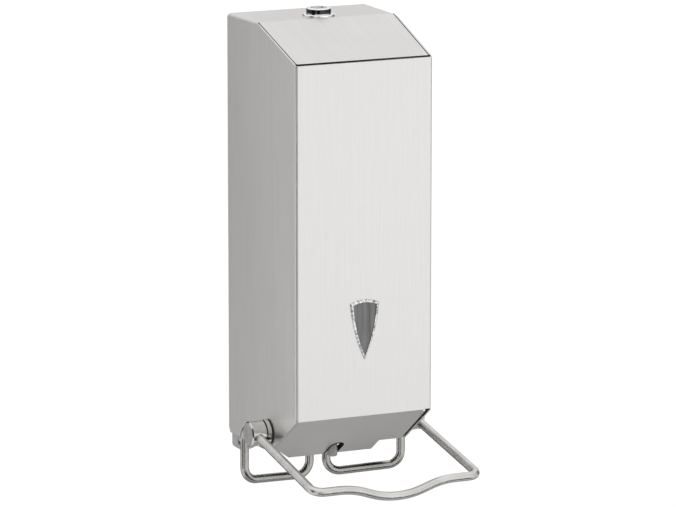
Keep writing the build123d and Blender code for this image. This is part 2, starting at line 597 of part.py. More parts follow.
def piston_rod():
    """Piston head, rod and slotted yoke in one piece."""
    head = disc_z(0, PUMP_Y, PISTON_TOP_Z - 2.0, PISTON_TOP_Z, BORE_D / 2 - 1.2)
    rod_part = disc_z(0, PUMP_Y, YOKE_TOP_Z - 1, PISTON_TOP_Z - 1, ROD_D / 2)
    yoke = box(-YOKE_HALF_WIDTH, YOKE_HALF_WIDTH, PUMP_Y - 5.6, PUMP_Y + 5.6,
               YOKE_FOOT_Z, YOKE_TOP_Z)
    yoke = fillet(yoke.edges().filter_by(Axis.X), 2.0)
    slot = disc_x(-5, 5, PUMP_Y - 1.4, PIVOT_Z, LINK_PIN_D / 2 + 0.22)
    slot += disc_x(-5, 5, PUMP_Y + 0.6, PIVOT_Z, LINK_PIN_D / 2 + 0.22)
    slot += box(-5, 5, PUMP_Y - 1.4, PUMP_Y + 0.6, PIVOT_Z - LINK_PIN_D / 2 - 0.22,
                PIVOT_Z + LINK_PIN_D / 2 + 0.22)
    return head + rod_part + yoke - slot


def piston_seal():
    """Cup seal under the piston head."""
    seal = ring_z(PUMP_Y, PISTON_TOP_Z - 4.6, PISTON_TOP_Z - 2.02, BORE_D / 2 - 0.05,
                  ROD_D / 2 + 0.02)
    return seal - ring_z(PUMP_Y, PISTON_TOP_Z - 5, PISTON_TOP_Z - 3.6, BORE_D / 2 - 1.0, 4.4)


def pump_spring():
    """Return spring inside the cylinder, from the piston up to the bore's roof."""
    wire_r = 0.45
    foot = PISTON_TOP_Z + wire_r + 0.02
    top = BORE_TOP_Z - wire_r - 0.02
    turns = 4.5
    helix = Helix(pitch=(top - foot) / turns, height=top - foot, radius=5.6)
    start = Plane(origin=helix @ 0, z_dir=helix % 0)
    coil = sweep(start * Circle(wire_r), path=helix, is_frenet=True)
    return Pos(0, PUMP_Y, foot) * coil


def spout():
    """Outlet tube: forward out of the pump, then straight down to the nozzle."""
    points = [Vector(0, PUMP_Y - 13, OUTLET_Z), Vector(0, SPOUT_Y, OUTLET_Z),
              Vector(0, SPOUT_Y, NOZZLE_TOP_Z + 0.5)]
    return rod(points, [8.0], SPOUT_D) - rod(points, [8.0], SPOUT_D - 2)


def nozzle():
    """Plastic nozzle tip on the end of the spout, with a bore for the drip valve."""
    tip = disc_z(0, SPOUT_Y, NOZZLE_FOOT_Z, NOZZLE_TOP_Z, NOZZLE_D / 2)
    foot = [e for e in tip.edges() if abs(e.center().Z - NOZZLE_FOOT_Z) < 0.05]
    tip = chamfer(foot, 0.7)
    tip += disc_z(0, SPOUT_Y, NOZZLE_TOP_Z - 3, NOZZLE_TOP_Z + 4, 4.2)
    tip -= disc_z(0, SPOUT_Y, NOZZLE_TOP_Z + 0.45, NOZZLE_TOP_Z + 9, SPOUT_D / 2 + 0.02)
    return tip - disc_z(0, SPOUT_Y, NOZZLE_FOOT_Z - 1, NOZZLE_TOP_Z + 2, 2.2)


def outlet_valve():
    """Slit rubber drip valve seated inside the nozzle's mouth."""
    valve = disc_z(0, SPOUT_Y, NOZZLE_FOOT_Z + 1.2, NOZZLE_FOOT_Z + 7, 2.15)
    valve -= disc_z(0, SPOUT_Y, NOZZLE_FOOT_Z + 3, NOZZLE_FOOT_Z + 8, 1.2)
    return valve - box(-1.0, 1.0, SPOUT_Y - 0.15, SPOUT_Y + 0.15, NOZZLE_FOOT_Z, NOZZLE_FOOT_Z + 3.5)


def inlet_ball():
    """Ball of the inlet valve, loose in the cage under the tank."""
    return Pos(0, PUMP_Y, -105.0 + 2.7) * Sphere(2.7)


# --- Shelf and tank -----------------------------------------------------------------------
def shelf():
    """Folded shelf: rear flange on the back plate, front lip that keeps the tank in."""
    rear = -PLATE_T - EPS
    plate = box(-SHELF_HALF_WIDTH, SHELF_HALF_WIDTH, SHELF_FRONT_Y, rear, *SHELF_Z)
    plate += box(-SHELF_HALF_WIDTH + 8, SHELF_HALF_WIDTH - 8, rear - 1.5, rear, -120, SHELF_Z[0])
    plate += box(-30, 30, SHELF_FRONT_Y, SHELF_FRONT_Y + 1.5, SHELF_Z[0], -93)
    for side in (-1, 1):
        plate += box(side * SHELF_HALF_WIDTH, side * (SHELF_HALF_WIDTH - 1.5),
                     SHELF_FRONT_Y + 4, rear - 6, SHELF_Z[0] - 8, SHELF_Z[0])
    plate -= disc_z(0, PUMP_Y, -120, -90, 9.1)
    for x in (-30, 30):
        plate -= disc_y(x, -10, 0, -113, 2.1)
    return plate


def shelf_screws():
    """Two screws with washer heads that hold the shelf to the back plate."""
    out = []
    for x in (-30, 30):
        head = disc_y(x, -6.2, -3.0 - 3 * EPS, -113, 4.2)
        head = fillet([e for e in head.edges() if e.center().Y < -6], 1.2)
        head += disc_y(x, -4, -PLATE_T - 2 * EPS, -113, 2.0)
        head -= box(x - 2.6, x + 2.6, -8, -5.2, -113.5, -112.5)
        out.append(head - box(x - 0.5, x + 0.5, -8, -5.2, -115.6, -110.4))
    return group(out)


def tank():
    """Soap tank: thin-walled box with a raised floor over the pump and a filler opening."""
    y0, y1 = TANK_Y
    z0, z1 = TANK_Z
    body = box(-TANK_HALF_WIDTH, TANK_HALF_WIDTH, y0, y1, z0, z1)
    body = fillet(body.edges().filter_by(Axis.Z), TANK_CORNER_R)
    body = fillet([e for e in body.edges() if e.center().Z > z1 - EPS], 2.0)
    wall = TANK_WALL
    inside = box(-TANK_HALF_WIDTH + wall, TANK_HALF_WIDTH - wall, y0 + wall, y1 - wall,
                 z0 + wall, z1 - wall)
    inside = fillet(inside.edges().filter_by(Axis.Z), TANK_CORNER_R - wall)
    raised = disc_z(0, PUMP_Y, z0, z0 + 9.5, 17.5)
    body -= inside - raised
    body -= disc_z(0, PUMP_Y, z0 - 1, z0 + 5.6, 15.5)
    body -= disc_z(0, PUMP_Y, z0 - 1, z0 + 7.2, 9.3)
    body -= disc_z(0, PUMP_Y, z0, z0 + 20, 6.1)
    body -= box(-FILL_HALF_WIDTH, FILL_HALF_WIDTH, *FILL_Y, z1 - wall - 1, z1 + 5)
    collar = box(-FILL_HALF_WIDTH - 1.5, FILL_HALF_WIDTH + 1.5, FILL_Y[0] - 1.5, FILL_Y[1] + 1.5,
                 z1 - 0.5, z1 + 2.0)
    collar -= box(-FILL_HALF_WIDTH, FILL_HALF_WIDTH, *FILL_Y, z1 - 3, z1 + 5)
    body += collar
    hinge_y, hinge_z = LID_HINGE
    for side in (-1, 1):
        lug = box(side * 20, side * 24, hinge_y - 2.6, hinge_y + 2.6, z1 - 0.5, hinge_z)
        lug += disc_x(side * 20, side * 24, hinge_y, hinge_z, 2.6)
        body += lug
    return body - disc_x(-30, 30, hinge_y, hinge_z, 1.42)


def filler_lid():
    """Hinged lid over the filler opening, with a skirt round the collar."""
    hinge_y, hinge_z = LID_HINGE
    lid_foot = TANK_Z[1] + 0.5
    lid = box(-FILL_HALF_WIDTH - 4, FILL_HALF_WIDTH + 4, FILL_Y[0] - 4, FILL_Y[1] + 2.2,
              lid_foot, TANK_Z[1] + 3.8)
    lid = fillet([e for e in lid.edges().filter_by(Axis.Z) if e.center().Y < -90], 4)
    lid -= box(-FILL_HALF_WIDTH - 2, FILL_HALF_WIDTH + 2, FILL_Y[0] - 2, FILL_Y[1] + 5,
               lid_foot - 1, TANK_Z[1] + 2.3)
    lid += box(-19.5, 19.5, hinge_y - 6, hinge_y, hinge_z - 2.0, TANK_Z[1] + 3.8)
    lid += disc_x(-19.5, 19.5, hinge_y, hinge_z, 2.6)
    lid += box(-8, 8, FILL_Y[0] - 8, FILL_Y[0] - 3.9, TANK_Z[1] + 2.2, TANK_Z[1] + 3.8)
    return lid - disc_x(-30, 30, hinge_y, hinge_z, 1.5)


def lid_pin():
    """Steel pin of the lid's hinge, gripped by the tank's lugs."""
    return disc_x(-24.5, 24.5, *LID_HINGE, 1.4)


def tank_seal():
    """Rubber ring between the pump's shoulder and the raised floor of the tank."""
    return ring_z(PUMP_Y, -96.99, TANK_Z[0] + 7.19, 8.8, 6.02)


# --- Build --------------------------------------------------------------------------------
def build():
    """Make every piece and write it."""
    os.makedirs("parts", exist_ok=True)
    shell, panel = cover_parts()
    rim, lens, clip = window_parts()
    lock_body, lock_nut, barrel, cam, cam_screw = lock_parts()
    pieces = {
        "wall_bracket": bracket(), "lock_catch": catch(), "catch_rivets": rivets(),
        "tank_shelf": shelf(), "shelf_screws": shelf_screws(), "soap_tank": tank(),
        "tank_seal": tank_seal(), "lid_pin": lid_pin(), "filler_lid": filler_lid(),
        "pump_body": pump_body(), "pump_gland": pump_gland(), "pump_nut": pump_nut(),
        "piston_rod": piston_rod(), "piston_seal": piston_seal(), "pump_spring": pump_spring(),
        "inlet_ball": inlet_ball(), "spout_tube": spout(), "nozzle_tip": nozzle(),
        "outlet_valve": outlet_valve(), "elbow_wire": elbow_wire(), "link_pin": link_pin(),
        "grub_screws": grub_screws(), "retaining_rings": retaining_rings(),
        "cover_shell": shell, "sloping_panel": panel, "window_rim": rim, "window_lens": lens,
        "window_clip": clip, "notch_trim": notch_trim(),
        "panel_gasket": panel_gasket(), "lock_body": lock_body, "lock_nut": lock_nut,
        "lock_barrel": barrel, "lock_cam": cam, "cam_screw": cam_screw,
    }
    for name, side in SIDES:
        pieces[f"flap_seal_{name}"] = flap_seal(side)
        pieces[f"hub_{name}"] = hub(side)
        pieces[f"crank_wire_{name}"] = crank_wire(side)
        pieces[f"bush_{name}"] = bush(side)
        pieces[f"washer_{name}"] = ring_x(side, *WASHER_X[side], WASHER_R, BUSH_D / 2 + 0.05)
        pieces[f"inner_spacer_{name}"] = ring_x(side, *INNER_SPACER_X[side], INNER_SPACER_R,
                                                BUSH_D / 2 + 0.05)
        pieces[f"outer_spacer_{name}"] = ring_x(side, *OUTER_SPACER_X[side], OUTER_SPACER_R,
                                                SPINDLE_D / 2 + 0.1)
    for name, shape in pieces.items():
        save(shape, name)


build()
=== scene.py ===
"""Looks for the elbow-operated wall soap dispenser: finishes, fine detail, light and camera."""

import json
from math import cos, pi, radians, sin

import bpy
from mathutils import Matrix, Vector


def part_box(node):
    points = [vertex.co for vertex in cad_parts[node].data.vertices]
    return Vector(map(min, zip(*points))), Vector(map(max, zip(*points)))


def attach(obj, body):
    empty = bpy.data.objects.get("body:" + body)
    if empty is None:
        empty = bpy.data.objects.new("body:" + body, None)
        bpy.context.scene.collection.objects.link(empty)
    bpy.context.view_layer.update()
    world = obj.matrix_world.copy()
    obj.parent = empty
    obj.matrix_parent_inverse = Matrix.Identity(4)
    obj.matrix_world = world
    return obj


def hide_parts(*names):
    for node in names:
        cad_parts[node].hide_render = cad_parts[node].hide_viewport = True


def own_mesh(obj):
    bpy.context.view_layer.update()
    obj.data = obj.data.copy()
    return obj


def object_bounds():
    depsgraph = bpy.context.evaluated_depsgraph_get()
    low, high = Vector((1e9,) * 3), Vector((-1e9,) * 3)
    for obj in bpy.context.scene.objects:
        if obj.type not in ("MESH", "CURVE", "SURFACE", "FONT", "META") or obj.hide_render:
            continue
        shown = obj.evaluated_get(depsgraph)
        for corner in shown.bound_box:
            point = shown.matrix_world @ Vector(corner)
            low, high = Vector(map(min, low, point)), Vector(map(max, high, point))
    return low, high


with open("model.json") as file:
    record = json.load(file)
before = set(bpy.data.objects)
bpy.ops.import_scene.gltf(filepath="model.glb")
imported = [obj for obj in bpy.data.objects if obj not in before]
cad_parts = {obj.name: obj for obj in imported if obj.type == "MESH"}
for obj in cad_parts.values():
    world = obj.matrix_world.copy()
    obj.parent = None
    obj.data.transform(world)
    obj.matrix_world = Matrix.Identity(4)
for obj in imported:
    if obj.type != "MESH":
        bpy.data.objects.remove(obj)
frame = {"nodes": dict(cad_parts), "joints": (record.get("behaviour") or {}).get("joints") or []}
CAD_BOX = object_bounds()


def joint(name):
    """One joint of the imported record."""
    return next(j for j in frame["joints"] if j["name"] == name)


PIVOT = Vector(joint("lever_hinge")["pos_m"])

# --- Finishes: which material each CAD node gets -----------------------------------------
CASE_NODES = ["cover_shell", "sloping_panel"]
SHEET_NODES = ["wall_bracket", "lock_catch", "tank_shelf", "window_clip"]
LEVER_NODES = ["elbow_wire"]
CRANK_NODES = ["crank_wire_left", "crank_wire_right"]
TURNED_NODES = ["hub_left", "hub_right", "washer_left", "washer_right",
                "inner_spacer_left", "inner_spacer_right"]
LOCK_NODES = ["lock_body"]
CHROME_NODES = ["lock_nut"]
BARREL_NODES = ["lock_barrel"]
BRIGHT_NODES = ["piston_rod", "link_pin", "lid_pin", "retaining_rings", "grub_screws",
                "shelf_screws", "cam_screw", "catch_rivets", "lock_cam", "pump_spring",
                "inlet_ball", "spout_tube"]
TANK_NODES = ["soap_tank"]
LID_NODES = ["filler_lid"]
PUMP_NODES = ["pump_body", "pump_gland", "pump_nut"]
DARK_NODES = ["bush_left", "bush_right", "outer_spacer_left", "outer_spacer_right"]
GREY_NODES = ["nozzle_tip"]
# flap_seal_left, flap_seal_right and panel_gasket are black strips set in the gaps beside the
# flap and under the sloping panel, standing in for the shade in those gaps: painted shade
RUBBER_AND_GAP_SHADE_NODES = ["piston_seal", "tank_seal", "outlet_valve", "notch_trim", "panel_gasket",
                "flap_seal_left", "flap_seal_right"]
RIM_NODES = ["window_rim"]
LENS_NODES = ["window_lens"]

# --- Studio -----------------------------------------------------------------------------
CAMERA_AIM_OFFSET = Vector((-0.0076, -0.0032, 0.0037))      # from the CAD box's centre
CAMERA_DISTANCE = 3.444
CAMERA_AZIMUTH = -24.46     # degrees, negative to the left of the front
CAMERA_ELEVATION = 11.38    # degrees
CAMERA_LENS = 257.0         # mm
SENSOR_WIDTH = 36.0         # mm
FAR_CLIP = 100.0
FLOOR_Z = -0.9
FLOOR_SPAN = 60.0
FLOOR_SHADE = 0.93
ROOM_COLOUR = (1.0, 0.998, 0.995, 1.0)
ROOM_LEVEL = 0.76           # brightness of the room from the horizon down
ROOM_OVERHEAD = 1.30        # and straight above
BACKDROP = 1.05             # and where the camera sees it directly
CARD_RAMP = (0.37, 0.66)    # where a shaded card starts and stops changing
BLACK = 0.02
# Cards that only reflections see: name, centre, size, normal and shade.
CARDS = (
    ("card_left", (-0.36, 0.55, -0.16), (1.1, 1.1), (0.42, -0.89, 0.18), (0.94, 0.04)),
    ("card_below", (0.35, 0.35, -0.62), (1.3, 1.3), (0, 0, 1), 0.44),
    ("card_front", (-1.15, -2.35, -0.45), (1.0, 0.8), (0.4, 0.9, 0.1), BLACK),
    ("card_under", (0.0, -0.85, -0.75), (1.5, 0.55), (0, 0.5, 0.87), BLACK),
    ("card_west", (-1.5, -0.45, 0.1), (0.9, 1.5), (1, 0.25, 0), BLACK),
    ("card_east", (1.5, 0.25, 0.15), (0.7, 1.4), (-1, 0, 0), BLACK),
)
LIGHT_AIM = Vector((0, -0.06, -0.02))
FRONT_BOX_PLACE = (1.05, -2.2, -0.15)
FRONT_BOX_SIZE = (1.7, 2.2)
FRONT_BOX_POWER = 4.2       # W

# --- Details ----------------------------------------------------------------------------
SPRING_WIRE_R = 0.00045
SPRING_TURNS = 4.5
COIL_STEPS = 28             # rings of the mesh for each turn
COIL_SIDES = 10
COIL_LOOK_AHEAD = 0.1       # of a step, to find which way the wire runs
LOCK_REFLECTION_BAND = (0.1519, 0.1551)    # heights of the dark band painted round the lock head: a painted reflection of a dark ceiling
LOCK_REFLECTION_BAND_EDGE = 0.00025    # how softly it ends


# --- Node helpers -----------------------------------------------------------------------
class Finish:
    """One material under construction, with short calls for the nodes it needs."""

    def __init__(self, name, **values):
        self.material = bpy.data.materials.new(name)
        self.material.use_nodes = True
        self.tree = self.material.node_tree
        self.shader = self.tree.nodes["Principled BSDF"]
        for key, value in values.items():
            self.shader.inputs[key.replace("_", " ")].default_value = value
        self.place = self.tree.nodes.new("ShaderNodeTexCoord")

    def link(self, source, target):
        self.tree.links.new(source, target)

    def node(self, kind, **settings):
        made = self.tree.nodes.new(kind)
        for key, value in settings.items():
            setattr(made, key, value)
        return made

    def stretch(self, scale, source=None):
        """Object coordinates with a scale for each axis, in repeats per metre."""
        mapping = self.node("ShaderNodeMapping")
        mapping.inputs["Scale"].default_value = scale
        self.link(source or self.place.outputs["Object"], mapping.inputs["Vector"])
        return mapping.outputs["Vector"]

    def noise(self, scale, detail=3.0, rough=0.55, source=None):
        """Noise with its own scale for each axis."""
        texture = self.node("ShaderNodeTexNoise")
        texture.inputs["Scale"].default_value = 1.0
        texture.inputs["Detail"].default_value = detail
        texture.inputs["Roughness"].default_value = rough
        self.link(self.stretch(scale, source), texture.inputs["Vector"])
        return texture.outputs["Fac"]

    def math(self, operation, first, second=None):
        made = self.node("ShaderNodeMath", operation=operation)
        for socket, value in zip(made.inputs, (first, second)):
            if value is None:
                continue
            if isinstance(value, (int, float)):
                socket.default_value = value
            else:
                self.link(value, socket)
        return made.outputs[0]

    def blend(self, factor, first, second):
        """Plain number mixed by a factor."""
        made = self.node("ShaderNodeMix", data_type="FLOAT")
        for socket, value in zip((made.inputs[0], made.inputs[2], made.inputs[3]),
                                 (factor, first, second)):
            if isinstance(value, (int, float)):
                socket.default_value = value
            else:
                self.link(value, socket)
        return made.outputs[0]

    def span(self, source, low, high, from_low=0.3, from_high=0.7):
        """A source stretched to another range; noise mostly lies between 0.3 and 0.7."""
        made = self.node("ShaderNodeMapRange")
        made.inputs["From Min"].default_value = from_low
        made.inputs["From Max"].default_value = from_high
        made.inputs["To Min"].default_value = low
        made.inputs["To Max"].default_value = high
        self.link(source, made.inputs["Value"])
        return made.outputs["Result"]

    def tint(self, source, dark, light, low=0.3, high=0.7):
        """Base colour that runs between two tones."""
        ramp = self.node("ShaderNodeValToRGB")
        ramp.color_ramp.elements[0].position = low
        ramp.color_ramp.elements[0].color = (*dark, 1.0)
        ramp.color_ramp.elements[1].position = high
        ramp.color_ramp.elements[1].color = (*light, 1.0)
        self.link(source, ramp.inputs["Fac"])
        self.link(ramp.outputs["Color"], self.shader.inputs["Base Color"])

    def roughness(self, source, low, high):
        self.link(self.span(source, low, high), self.shader.inputs["Roughness"])

    def bump(self, source, strength, depth):
        made = self.node("ShaderNodeBump")
        made.inputs["Strength"].default_value = strength
        made.inputs["Distance"].default_value = depth
        self.link(source, made.inputs["Height"])
        self.link(made.outputs["Normal"], self.shader.inputs["Normal"])

    def facing_side(self):
        """1 on surfaces that face left or right, 0 on the others."""
        parts = self.node("ShaderNodeSeparateXYZ")
        self.link(self.place.outputs["Normal"], parts.inputs[0])
        return self.span(self.math("ABSOLUTE", parts.outputs["X"]), 0.0, 1.0, 0.45, 0.75)

    def band(self, axis, low, high, soft):
        """1 between two object coordinates, 0 outside them, with soft edges."""
        parts = self.node("ShaderNodeSeparateXYZ")
        self.link(self.place.outputs["Object"], parts.inputs[0])
        rise = self.span(parts.outputs[axis], 0.0, 1.0, low - soft, low + soft)
        fall = self.span(parts.outputs[axis], 1.0, 0.0, high - soft, high + soft)
        return self.math("MULTIPLY", rise, fall)

    def brushed_round_z(self, amount):
        """Highlights drawn out across a vertical grain."""
        tangent = self.node("ShaderNodeTangent", direction_type="RADIAL", axis="Z")
        self.shader.inputs["Anisotropic"].default_value = amount
        self.link(tangent.outputs[0], self.shader.inputs["Tangent"])


def dress(names, finish):
    """Give CAD nodes a finished material."""
    for name in names:
        mesh = frame["nodes"][name].data
        mesh.materials.clear()
        mesh.materials.append(finish.material)


# --- Finishes -----------------------------------------------------------------------------
def brushed_case():
    """Stainless sheet with a fine vertical grain that follows the front up over the top."""
    f = Finish("brushed_case", Metallic=1.0)
    side = f.facing_side()
    fine = f.blend(side, f.noise((2600, 30, 30)), f.noise((30, 2600, 30)))
    broad = f.blend(side, f.noise((620, 9, 9), 2.0), f.noise((9, 620, 9), 2.0))
    cloud = f.noise((16, 16, 7), 2.0)
    grain = f.math("ADD", f.math("MULTIPLY", fine, 0.45),
                   f.math("ADD", f.math("MULTIPLY", broad, 0.35), f.math("MULTIPLY", cloud, 0.2)))
    f.tint(grain, (0.583, 0.572, 0.566), (0.668, 0.657, 0.648))
    f.roughness(grain, 0.27, 0.37)
    f.bump(fine, 0.06, 0.00006)
    f.brushed_round_z(0.55)
    return f


def plain_sheet():
    """Mill-finish sheet of the hidden parts, with a faint rolling grain."""
    f = Finish("plain_sheet", Metallic=1.0)
    grain = f.blend(f.facing_side(), f.noise((900, 24, 60)), f.noise((24, 900, 60)))
    f.tint(grain, (0.46, 0.46, 0.46), (0.57, 0.57, 0.565))
    f.roughness(grain, 0.30, 0.46)
    f.bump(grain, 0.08, 0.0001)
    return f


def lever_wire():
    """Drawn wire of the lever, rubbed to a satin by hands and elbows."""
    f = Finish("lever_wire", Metallic=1.0)
    scratches = f.noise((420, 900, 900), 4.0, 0.65)
    patches = f.noise((60, 90, 90), 2.0)
    f.tint(patches, (0.50, 0.49, 0.48), (0.61, 0.60, 0.585))
    f.roughness(scratches, 0.24, 0.38)
    f.bump(scratches, 0.09, 0.0001)
    return f


def crank_wire():
    """Drawn wire of the crank loops: the lever's wire, given a darker tone as painted shade for
    the loops' place back under the case.
    """
    f = Finish("crank_wire", Metallic=1.0)
    scratches = f.noise((900, 900, 420), 4.0, 0.65)
    patches = f.noise((80, 80, 60), 2.0)
    # darker than the lever's tone for the same wire: painted shade
    f.tint(patches, (0.33, 0.32, 0.31), (0.43, 0.42, 0.405))
    f.roughness(scratches, 0.15, 0.27)
    f.bump(scratches, 0.07, 0.0001)
    return f


def turned_steel():
    """Lathe-turned hubs and washers: fine grooves round the pivot axis."""
    f = Finish("turned_steel", Metallic=1.0)
    parts = f.node("ShaderNodeSeparateXYZ")
    f.link(f.place.outputs["Object"], parts.inputs[0])
    off_y = f.math("SUBTRACT", parts.outputs["Y"], PIVOT.y)
    off_z = f.math("SUBTRACT", parts.outputs["Z"], PIVOT.z)
    radius = f.math("SQRT", f.math("ADD", f.math("MULTIPLY", off_y, off_y),
                                   f.math("MULTIPLY", off_z, off_z)))
    lathe = f.node("ShaderNodeCombineXYZ")
    f.link(parts.outputs["X"], lathe.inputs["X"])
    f.link(radius, lathe.inputs["Y"])
    grooves = f.noise((3200, 3200, 1), 3.0, 0.6, lathe.outputs[0])
    stain = f.noise((140, 140, 140), 2.0)
    f.tint(stain, (0.48, 0.47, 0.46), (0.63, 0.62, 0.605))
    f.roughness(grooves, 0.10, 0.24)
    f.bump(grooves, 0.22, 0.00008)
    return f


def chrome():
    """Chrome plate with the faintest polish haze."""
    f = Finish("chrome", Metallic=1.0)
    haze = f.noise((220, 220, 220), 3.0)
    f.tint(haze, (0.66, 0.665, 0.67), (0.78, 0.78, 0.785))
    f.roughness(haze, 0.035, 0.10)
    f.bump(haze, 0.02, 0.00005)
    return f


def lock_chrome():
    """Chrome lock body with a dark band round its head painted into its colour: a painted
    reflection of a dark ceiling in the chrome.
    """
    f = Finish("lock_chrome", Metallic=1.0)
    haze = f.noise((220, 220, 220), 3.0)
    # mask of the head band where the colour drops near black: painted reflection
    dark = f.band("Z", LOCK_REFLECTION_BAND[0], LOCK_REFLECTION_BAND[1], LOCK_REFLECTION_BAND_EDGE)
    level = f.math("SUBTRACT", f.blend(0.12, 1.0, haze), f.math("MULTIPLY", dark, 0.92))
    f.tint(level, (0.03, 0.03, 0.032), (0.80, 0.80, 0.805), 0.0, 0.95)
    f.roughness(haze, 0.05, 0.12)
    f.bump(haze, 0.02, 0.00005)
    return f


def barrel_steel():
    """Face of the lock barrel: brushed across by the key's wear."""
    f = Finish("barrel_steel", Metallic=1.0)
    wear = f.noise((300, 1800, 300), 4.0)
    f.tint(wear, (0.44, 0.43, 0.42), (0.62, 0.61, 0.60))
    f.roughness(wear, 0.18, 0.36)
    f.bump(wear, 0.10, 0.0001)
    return f


def bright_steel():
    """Small bright parts: pins, screws, spring, cam and tube."""
    f = Finish("bright_steel", Metallic=1.0)
    speckle = f.noise((700, 700, 700), 4.0)
    f.tint(f.noise((90, 90, 90), 2.0), (0.54, 0.54, 0.545), (0.66, 0.66, 0.66))
    f.roughness(speckle, 0.14, 0.28)
    f.bump(speckle, 0.05, 0.00006)
    return f


def tank_plastic():
    """Natural polyethylene: milky, a little light goes in."""
    f = Finish("tank_plastic", Subsurface_Weight=0.35, IOR=1.5)
    f.shader.inputs["Subsurface Radius"].default_value = (0.006, 0.006, 0.005)
    flow = f.noise((26, 26, 9), 3.0)
    f.tint(flow, (0.74, 0.77, 0.76), (0.86, 0.88, 0.87))
    peel = f.noise((900, 900, 900), 2.0)
    f.roughness(peel, 0.36, 0.52)
    f.bump(peel, 0.10, 0.0001)
    return f


def lid_plastic():
    """White moulded lid with a fine spark-eroded texture."""
    f = Finish("lid_plastic", IOR=1.5)
    f.tint(f.noise((40, 40, 40), 2.0), (0.80, 0.80, 0.79), (0.88, 0.88, 0.87))
    spark = f.noise((1700, 1700, 1700), 2.0)
    f.roughness(spark, 0.42, 0.58)
    f.bump(spark, 0.20, 0.0001)
    return f


def pump_plastic():
    """Natural acetal, machined and moulded."""
    f = Finish("pump_plastic", IOR=1.48, Subsurface_Weight=0.2)
    f.shader.inputs["Subsurface Radius"].default_value = (0.004, 0.004, 0.003)
    rings = f.noise((60, 60, 1500), 2.0)
    f.tint(rings, (0.76, 0.75, 0.71), (0.85, 0.84, 0.80))
    f.roughness(rings, 0.28, 0.42)
    f.bump(rings, 0.10, 0.0001)
    return f


def dark_plastic():
    """Black nylon with a dry moulded surface."""
    f = Finish("dark_plastic", IOR=1.5)
    grain = f.noise((1300, 1300, 1300), 3.0)
    f.tint(grain, (0.010, 0.010, 0.010), (0.030, 0.030, 0.031))
    f.roughness(grain, 0.34, 0.55)
    f.bump(grain, 0.16, 0.0001)
    return f


def grey_plastic():
    """Grey acetal of the nozzle."""
    f = Finish("grey_plastic", IOR=1.48)
    grain = f.noise((900, 900, 900), 3.0)
    f.tint(grain, (0.21, 0.205, 0.205), (0.29, 0.285, 0.28))
    f.roughness(grain, 0.30, 0.46)
    f.bump(grain, 0.10, 0.0001)
    return f


def seal_rubber():
    """Black nitrile with a dusty bloom, kept near black with little shine so that the strips set
    in the gaps read as the shade there: painted shade.
    """
    f = Finish("seal_rubber", IOR=1.5)
    bloom = f.noise((400, 400, 400), 4.0, 0.7)
    # little shine and a near-black tone, so the gap strips read as shade: painted shade
    f.shader.inputs["Specular IOR Level"].default_value = 0.15
    f.tint(bloom, (0.004, 0.004, 0.004), (0.016, 0.0155, 0.015))
    f.roughness(bloom, 0.62, 0.86)
    f.bump(bloom, 0.20, 0.0001)
    return f


def rim_polish():
    """Bright rim of the level window, cast with a fine hammered surface."""
    f = Finish("rim_polish", Metallic=1.0)
    hammer = f.noise((620, 620, 620), 3.0, 0.6)
    f.tint(hammer, (0.16, 0.158, 0.16), (0.74, 0.735, 0.735), 0.36, 0.60)
    f.roughness(hammer, 0.08, 0.20)
    f.bump(hammer, 0.45, 0.0003)
    return f


def smoked_lens():
    """Smoked acrylic of the level window, with upright streaks: in its surface they are moulding
    streaks, in its colour they are painted shade standing in for the reflections of a crowned
    lens.
    """
    f = Finish("smoked_lens", IOR=1.49, Coat_Weight=0.4)
    streaks_and_painted_shade = f.noise((420, 260, 22), 3.0)
    depth = f.noise((110, 110, 30), 1.0)
    mixed = f.blend(0.45, streaks_and_painted_shade, depth)
    # darker upright streaks in the colour: painted shade of a curved lens
    f.tint(mixed, (0.045, 0.044, 0.046), (0.150, 0.146, 0.148), 0.36, 0.62)
    f.roughness(streaks_and_painted_shade, 0.10, 0.22)
    f.bump(streaks_and_painted_shade, 0.05, 0.0002)
    return f


# --- Studio -----------------------------------------------------------------------------
def plain_surface(name, shade):
    """Matt studio surface: one shade, or two that run into each other from left to right."""
    material = bpy.data.materials.new(name)
    material.use_nodes = True
    tree = material.node_tree
    shader = tree.nodes["Principled BSDF"]
    shader.inputs["Roughness"].default_value = 0.9
    shader.inputs["Specular IOR Level"].default_value = 0.0
    if isinstance(shade, float):
        shader.inputs["Base Color"].default_value = (shade, shade, shade, 1.0)
        return material
    ramp = tree.nodes.new("ShaderNodeValToRGB")
    for element, value, position in zip(ramp.color_ramp.elements, shade, CARD_RAMP):
        element.position = position
        element.color = (value, value, value, 1.0)
    place = tree.nodes.new("ShaderNodeTexCoord")
    parts = tree.nodes.new("ShaderNodeSeparateXYZ")
    tree.links.new(place.outputs["Generated"], parts.inputs[0])
    tree.links.new(parts.outputs["X"], ramp.inputs["Fac"])
    tree.links.new(ramp.outputs["Color"], shader.inputs["Base Color"])
    return material


def studio_plane(name, centre, size, normal, shade, seen=True):
    """Flat staged plane that faces along a normal."""
    width, height = size
    mesh = bpy.data.meshes.new(name)
    corners = [(-width / 2, -height / 2, 0), (width / 2, -height / 2, 0),
               (width / 2, height / 2, 0), (-width / 2, height / 2, 0)]
    mesh.from_pydata(corners, [], [(0, 1, 2, 3)])
    plane = bpy.data.objects.new(name, mesh)
    bpy.context.scene.collection.objects.link(plane)
    plane.rotation_euler = Vector(normal).to_track_quat("Z", "Y").to_euler()
    plane.location = centre
    mesh.materials.append(plain_surface(name, shade))
    plane.visible_camera = seen
    plane.visible_diffuse = seen
    plane.visible_shadow = seen


def softbox(name, centre, size, power):
    """Large rectangular light aimed at the dispenser."""
    light = bpy.data.lights.new(name, "AREA")
    light.shape = "RECTANGLE"
    light.size, light.size_y = size
    light.energy = power
    lamp = bpy.data.objects.new(name, light)
    bpy.context.scene.collection.objects.link(lamp)
    lamp.location = centre
    lamp.rotation_euler = (LIGHT_AIM - Vector(centre)).to_track_quat("-Z", "Y").to_euler()


